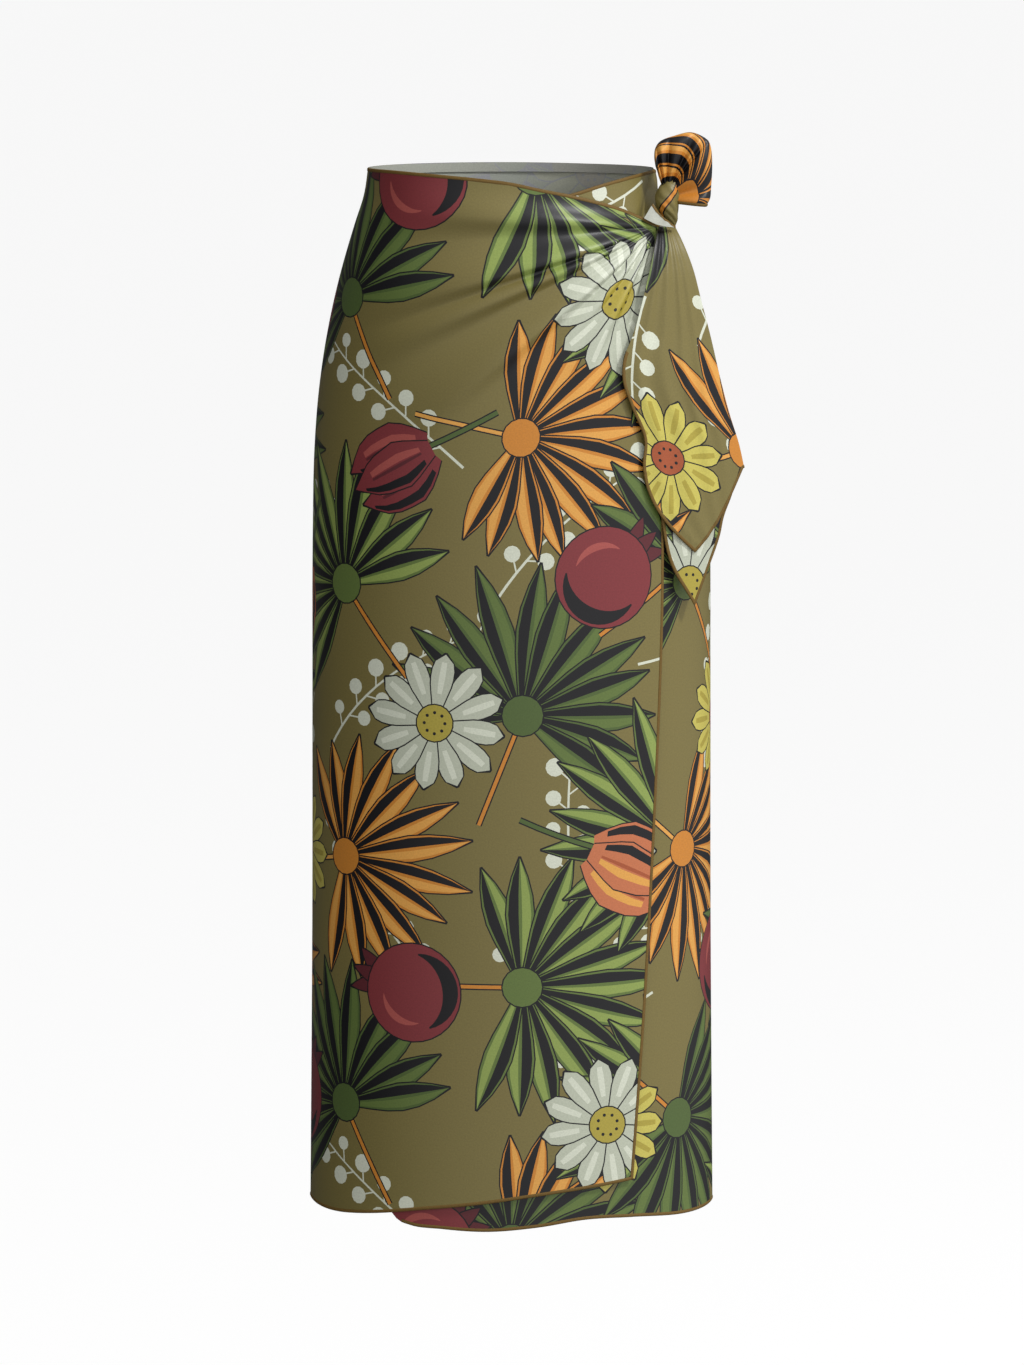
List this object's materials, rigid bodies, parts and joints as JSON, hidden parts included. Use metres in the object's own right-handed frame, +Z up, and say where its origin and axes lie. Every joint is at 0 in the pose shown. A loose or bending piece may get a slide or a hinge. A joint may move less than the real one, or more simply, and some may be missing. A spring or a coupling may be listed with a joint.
{
  "type": "wrap skirt",
  "caption": "Long straight wrap skirt of printed satin, worn open at waist and hem, its front crossing over and gathered into a side knot with a bow loop and a hanging tail.",
  "frame": {"origin": "middle of the waist at the height of the side seams' top, where the wearer's waist holds the skirt up", "axes": "+Z up along the body, -Y the wearer's front, +X the side with the knot, which is the wearer's left"},
  "size_m": [0.3909, 0.2505, 0.9726],
  "materials": {
    "printed_satin": "satin weave with a large botanical print on an olive ground, soft sheen",
    "printed_satin_tie": "the same printed satin, wound into the tie",
    "satin_wrong_side": "matt wrong side of the satin with the print showing faintly through"
  },
  "bodies": {
    "root": {"over_front": "printed_satin", "under_front": "printed_satin", "back_panel": "printed_satin", "back_waist_turning": "satin_wrong_side", "knot": "printed_satin_tie", "knot_collar": "satin_wrong_side", "bow_loop": "printed_satin_tie", "tail": "printed_satin_tie"}
  },
  "joints": []
}
